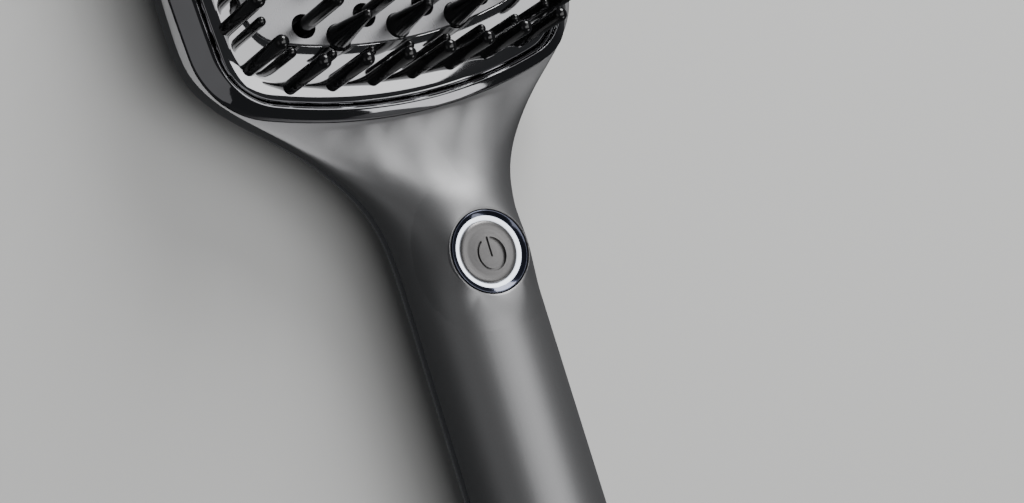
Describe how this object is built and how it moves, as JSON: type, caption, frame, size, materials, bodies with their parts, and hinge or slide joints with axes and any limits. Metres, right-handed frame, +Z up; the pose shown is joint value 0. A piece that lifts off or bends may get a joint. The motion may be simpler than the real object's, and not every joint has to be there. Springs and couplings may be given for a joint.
{
  "type": "steam hair straightener brush",
  "caption": "Steam hair straightener brush with a round flared handle, wide bristle head, toothed heated plate, lit power button and pull-off water tank.",
  "frame": {"origin": "on the ground under the middle of the bounding box, with the brush lying on its back", "axes": "+Z up out of the bristles, +Y along the handle towards the head's far end, +X across the brush"},
  "size_m": [0.09, 0.2744, 0.0396],
  "materials": {
    "satin_shell": "satin metallic paint",
    "gloss_black": "high gloss",
    "black_chrome": "dark chrome plating, mirror gloss",
    "bristle_black": "high gloss",
    "plate_metal": "satin dark coating",
    "inner_plastic": "plain moulding",
    "heater": "bare metal",
    "soft_rubber": "matt",
    "steel": "plain",
    "bezel_dark": "dark blue-black gloss",
    "light_diffuser": "white translucent",
    "button_grey": "satin metallic",
    "board_green": "lacquered board",
    "clear_plastic": "smoky clear"
  },
  "bodies": {
    "housing": {"front_shell": "satin_shell", "back_shell": "gloss_black", "rim": "black_chrome", "bristle_tray": "black_chrome", "tall_bristles": "bristle_black", "short_bristles": "bristle_black", "heated_plate": "plate_metal", "plate_teeth": "plate_metal", "plate_bristles": "bristle_black", "bristle_bed": "inner_plastic", "heater_strips": "heater", "plate_frame": "inner_plastic", "steam_chamber": "heater", "chassis": "inner_plastic", "pump": "inner_plastic", "hoses": "soft_rubber", "screws": "steel", "button_bezel": "bezel_dark", "light_ring": "light_diffuser", "switch_body": "inner_plastic", "control_board": "board_green", "tank_seal": "soft_rubber", "end_cap": "bezel_dark"},
    "power_button": {"button_cap": "button_grey", "switch_plunger": "inner_plastic"},
    "water_tank": {"tank_shell": "clear_plastic", "tank_cover": "gloss_black"},
    "filler_plug": {"tank_plug": "soft_rubber"},
    "cord_swivel": {"cord_gland": "soft_rubber"}
  },
  "joints": [
    {"name": "button_press", "type": "slide", "parent": "housing", "child": "power_button", "axis": [0, 0, -1], "range_m": [0, 0.0006], "stiffness_N_per_m": 1500, "springref_m": -0.001},
    {"name": "tank_release", "type": "slide", "parent": "housing", "child": "water_tank", "axis": [0, 0, -1], "range_m": [0, 0.02]},
    {"name": "plug_pull", "type": "slide", "parent": "water_tank", "child": "filler_plug", "axis": [0, 0, -1], "range_m": [0, 0.006]},
    {"name": "gland_turn", "type": "hinge", "parent": "housing", "child": "cord_swivel", "pos_m": [0, -0.1281, 0.0172], "axis": [0, 1, 0], "continuous": true}
  ]
}
